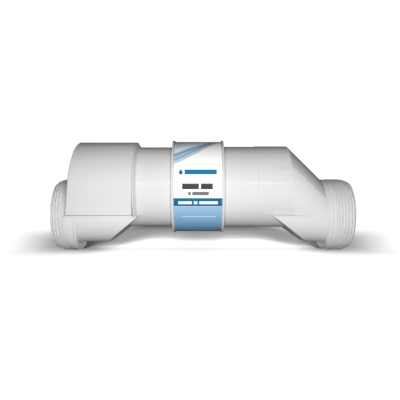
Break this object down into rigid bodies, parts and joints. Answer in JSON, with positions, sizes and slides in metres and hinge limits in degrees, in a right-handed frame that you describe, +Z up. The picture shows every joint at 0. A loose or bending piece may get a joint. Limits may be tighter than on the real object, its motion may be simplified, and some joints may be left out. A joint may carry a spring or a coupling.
{
  "type": "salt chlorine generator",
  "caption": "Pool salt chlorine generator cell: a white horizontal tube with offset threaded ports, a terminal housing, a labelled collar and electrode plates inside.",
  "frame": {"origin": "at the centre of the inlet port's face, on the common axis of the two ports", "axes": "+X along the tube from the terminal housing and inlet to the sloped outlet end, +Y towards the cable gland at the back, +Z up"},
  "size_m": [0.419, 0.1558, 0.1582],
  "materials": {
    "white_pvc": "glossy injection-moulded PVC",
    "housing_pvc": "satin-gloss moulded PVC",
    "printed_label": "glossy printed film in white and blues",
    "seal_rubber": "matt black rubber",
    "gland_nylon": "satin black nylon",
    "natural_plastic": "off-white moulded plastic",
    "coated_titanium": "dark grey mixed-oxide coating on titanium sheet",
    "titanium": "bare titanium",
    "stainless_steel": "plain stainless steel"
  },
  "bodies": {
    "root": {"inlet_body": "white_pvc", "outlet_body": "white_pvc", "coupling_sleeve": "white_pvc", "label_band": "printed_label", "terminal_housing": "housing_pvc", "centre_joint_seal": "seal_rubber", "inlet_face_o_ring": "seal_rubber", "outlet_face_o_ring": "seal_rubber", "gland_body": "gland_nylon", "gland_nut": "gland_nylon", "gland_locknut": "gland_nylon", "gland_washer": "seal_rubber", "gland_seal": "seal_rubber", "plate_spacer_rod_1": "natural_plastic", "plate_spacer_rod_2": "natural_plastic", "upper_comb_inlet": "natural_plastic", "lower_comb_inlet": "natural_plastic", "upper_comb_outlet": "natural_plastic", "lower_comb_outlet": "natural_plastic", "terminal_header": "natural_plastic", "header_gasket": "seal_rubber", "temperature_probe": "stainless_steel", "terminal_stud_1": "titanium", "terminal_stud_2": "titanium", "busbar_1": "titanium", "busbar_2": "titanium", "stud_washer_1": "stainless_steel", "stud_washer_2": "stainless_steel", "stud_nut_1": "stainless_steel", "stud_nut_2": "stainless_steel", "electrode_plate_1": "coated_titanium", "electrode_plate_2": "coated_titanium", "electrode_plate_3": "coated_titanium", "electrode_plate_4": "coated_titanium", "electrode_plate_5": "coated_titanium", "electrode_plate_6": "coated_titanium", "electrode_plate_7": "coated_titanium"}
  },
  "joints": []
}
